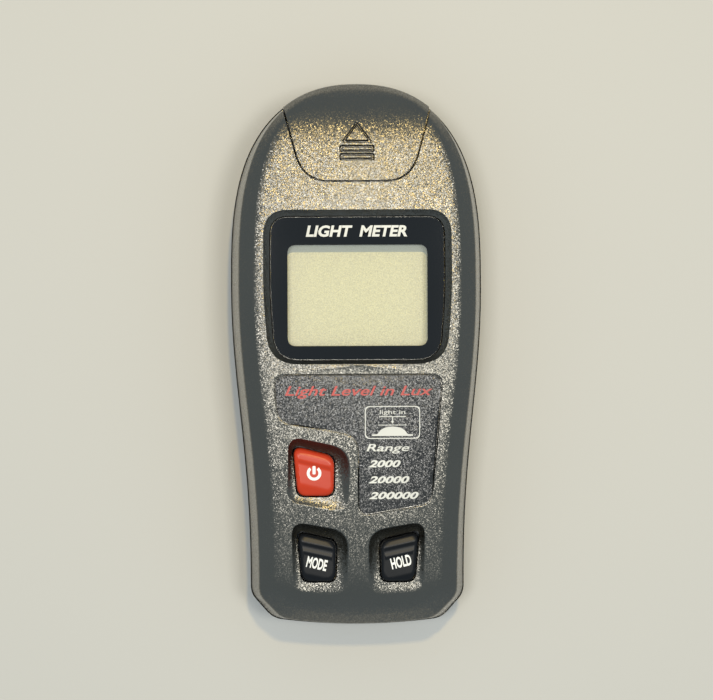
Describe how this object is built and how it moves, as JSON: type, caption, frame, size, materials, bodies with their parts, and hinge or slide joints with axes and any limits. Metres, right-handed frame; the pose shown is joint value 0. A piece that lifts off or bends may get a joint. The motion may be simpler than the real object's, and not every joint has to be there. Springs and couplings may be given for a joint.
{
  "type": "handheld light meter",
  "caption": "Palm-size light meter with a sliding sensor cover, a recessed display window, keys in scooped pits and a sliding battery door.",
  "frame": {"origin": "centre of the meter's footprint, on the surface that its back rests on", "axes": "+X to the right of the display, +Y towards the light sensor, +Z out of the display face"},
  "size_m": [0.0672, 0.145, 0.0301],
  "materials": {
    "case_plastic": "dark grey ABS, fine spark texture",
    "window_lens": "clear acrylic, polished",
    "label_film": "dark speckled polycarbonate film",
    "white_plastic": "white, moulded",
    "lcd_glass": "pale yellow-green liquid crystal display",
    "reflector_film": "pale diffuse reflector",
    "contact_rubber": "layered conductive elastomer",
    "red_key_plastic": "red-orange, semi-gloss",
    "black_key_plastic": "black, polished",
    "keypad_rubber": "grey silicone",
    "circuit_board": "green solder mask",
    "black_resin": "black, moulded",
    "trimmer_plastic": "blue",
    "capacitor_sleeve": "black shrink sleeve",
    "nickel_steel": "nickel plated",
    "diffuser_plastic": "white, translucent, satin",
    "filter_glass": "green colour-correction filter",
    "white_wire": "PVC sleeve",
    "black_wire": "PVC sleeve",
    "red_wire": "PVC sleeve",
    "cell_sleeve": "printed sleeve, plain blue",
    "white_print": "white ink",
    "red_print": "red ink",
    "window_border": "black ink on the back of the lens"
  },
  "bodies": {
    "case": {"front_shell": "case_plastic", "rear_shell": "case_plastic", "display_window": "window_lens", "range_label": "label_film", "lcd_frame": "white_plastic", "lcd_panel": "lcd_glass", "lcd_reflector": "reflector_film", "zebra_strip_upper": "contact_rubber", "zebra_strip_lower": "contact_rubber", "power_dome": "keypad_rubber", "mode_dome": "keypad_rubber", "hold_dome": "keypad_rubber", "keypad_sheet": "keypad_rubber", "main_board": "circuit_board", "sensor_board": "circuit_board", "controller_chip": "black_resin", "amplifier_chip": "black_resin", "calibration_trimmer": "trimmer_plastic", "filter_capacitor": "capacitor_sleeve", "clock_crystal": "nickel_steel", "diffuser_dome": "diffuser_plastic", "sensor_cup": "black_resin", "colour_filter": "filter_glass", "photodiode": "nickel_steel", "sensor_lead_signal": "white_wire", "sensor_lead_ground": "black_wire", "battery_lead_red": "red_wire", "battery_lead_black": "black_wire", "battery_cell_left": "cell_sleeve", "battery_cell_middle": "cell_sleeve", "battery_cell_right": "cell_sleeve", "battery_spring_left": "nickel_steel", "battery_spring_middle": "nickel_steel", "battery_spring_right": "nickel_steel", "contact_positive": "nickel_steel", "contact_negative": "nickel_steel", "contact_link_upper": "nickel_steel", "contact_link_lower": "nickel_steel", "case_screw_1": "nickel_steel", "board_screw_1": "nickel_steel", "case_screw_2": "nickel_steel", "board_screw_2": "nickel_steel", "case_screw_3": "nickel_steel", "board_screw_3": "nickel_steel", "case_screw_4": "nickel_steel", "board_screw_4": "nickel_steel"},
    "cover": {"sensor_cover": "case_plastic"},
    "door": {"battery_door": "case_plastic"},
    "power_button": {"power_key": "red_key_plastic"},
    "mode_button": {"mode_key": "black_key_plastic"},
    "hold_button": {"hold_key": "black_key_plastic"}
  },
  "joints": [
    {"name": "sensor_cover_slide", "type": "slide", "parent": "case", "child": "cover", "axis": [0, 1, 0], "range_m": [0, 0.024]},
    {"name": "battery_door_slide", "type": "slide", "parent": "case", "child": "door", "axis": [0, -1, 0], "range_m": [0, 0.05]},
    {"name": "power_key_press", "type": "slide", "parent": "case", "child": "power_button", "axis": [0, 0, -1], "range_m": [0, 0.001], "stiffness_N_per_m": 800, "springref_m": -0.0004, "deforming": ["power_dome"]},
    {"name": "mode_key_press", "type": "slide", "parent": "case", "child": "mode_button", "axis": [0, 0, -1], "range_m": [0, 0.001], "stiffness_N_per_m": 800, "springref_m": -0.0004, "deforming": ["mode_dome"]},
    {"name": "hold_key_press", "type": "slide", "parent": "case", "child": "hold_button", "axis": [0, 0, -1], "range_m": [0, 0.001], "stiffness_N_per_m": 800, "springref_m": -0.0004, "deforming": ["hold_dome"]}
  ]
}
